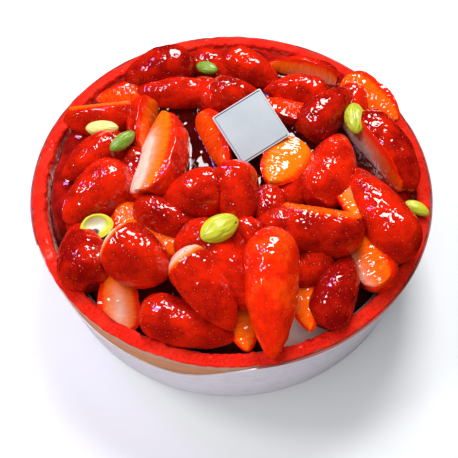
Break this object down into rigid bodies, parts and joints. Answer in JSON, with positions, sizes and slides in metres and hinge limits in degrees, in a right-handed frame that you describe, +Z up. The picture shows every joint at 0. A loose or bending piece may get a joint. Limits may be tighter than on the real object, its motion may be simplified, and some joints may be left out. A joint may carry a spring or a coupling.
{
  "type": "strawberry fraisier cake",
  "caption": "Round cake with a biscuit side, red rim and paper band, filled with cream and heaped with glazed strawberries, pistachios and a small tilted plaque.",
  "frame": {"origin": "middle of the underside, on the cake's vertical axis", "axes": "+Z up out of the heap of fruit; -Y is the front, where the paper band is low and the plaque faces"},
  "size_m": [0.1814, 0.1814, 0.0727],
  "materials": {
    "crust_ring": "rough baked biscuit, red on top",
    "cream": "soft satin cream",
    "side_band": "smooth pale paper",
    "plaque": "smooth, slightly glossy",
    "strawberry_skin": "wet fruit glaze",
    "strawberry_cut": "cut fruit under glaze",
    "pistachio": "satin nut kernel"
  },
  "bodies": {
    "root": {"cream": "cream", "crust_ring": "crust_ring", "pistachio_1": "pistachio", "pistachio_2": "pistachio", "pistachio_3": "pistachio", "pistachio_4": "pistachio", "pistachio_5": "pistachio", "pistachio_6": "pistachio", "pistachio_7": "pistachio", "plaque": "plaque", "side_band": "side_band", "strawberry_01": "strawberry_skin", "strawberry_02": "strawberry_cut", "strawberry_03": "strawberry_skin", "strawberry_04": "strawberry_cut", "strawberry_05": "strawberry_skin", "strawberry_06": "strawberry_skin", "strawberry_07": "strawberry_cut", "strawberry_08": "strawberry_skin", "strawberry_09": "strawberry_skin", "strawberry_10": "strawberry_skin", "strawberry_11": "strawberry_cut", "strawberry_12": "strawberry_skin", "strawberry_13": "strawberry_skin", "strawberry_14": "strawberry_skin", "strawberry_15": "strawberry_skin", "strawberry_16": "strawberry_cut", "strawberry_17": "strawberry_skin", "strawberry_18": "strawberry_cut", "strawberry_19": "strawberry_cut", "strawberry_20": "strawberry_skin", "strawberry_21": "strawberry_skin", "strawberry_23": "strawberry_skin", "strawberry_24": "strawberry_skin", "strawberry_25": "strawberry_cut", "strawberry_27": "strawberry_skin", "strawberry_28": "strawberry_cut", "strawberry_29": "strawberry_skin", "strawberry_30": "strawberry_skin", "strawberry_31": "strawberry_cut", "strawberry_32": "strawberry_cut", "strawberry_33": "strawberry_skin", "strawberry_34": "strawberry_skin", "strawberry_35": "strawberry_cut", "strawberry_36": "strawberry_skin", "strawberry_37": "strawberry_cut", "strawberry_39": "strawberry_skin", "strawberry_40": "strawberry_skin", "strawberry_42": "strawberry_skin", "strawberry_43": "strawberry_skin", "strawberry_44": "strawberry_skin", "strawberry_45": "strawberry_cut", "strawberry_46": "strawberry_cut", "strawberry_47": "strawberry_skin", "strawberry_48": "strawberry_skin", "strawberry_49": "strawberry_cut", "strawberry_50": "strawberry_cut", "strawberry_51": "strawberry_skin"}
  },
  "joints": []
}
